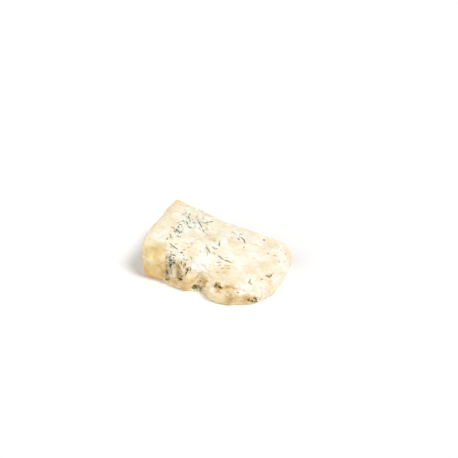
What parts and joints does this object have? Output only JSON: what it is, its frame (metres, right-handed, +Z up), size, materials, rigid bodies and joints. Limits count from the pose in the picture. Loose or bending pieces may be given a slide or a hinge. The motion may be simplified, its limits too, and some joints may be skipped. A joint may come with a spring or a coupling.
{
  "type": "gorgonzola wedge",
  "caption": "Soft blue cheese wedge lying on a cut face, thick at the rind end and thin at the tip, with a slumped front edge and small mould hollows.",
  "frame": {"origin": "on the resting face, under the middle of the wedge's bounding box", "axes": "+Z up from the resting cut face, +X from the rind end to the tip, -Y towards the slumped front side"},
  "size_m": [0.1534, 0.1022, 0.0534],
  "materials": {
    "cheese": "moist ivory paste with blue-green mould veins, and a smooth tan natural rind at the thick end"
  },
  "bodies": {
    "root": {"gorgonzola_wedge": "cheese"}
  },
  "joints": []
}
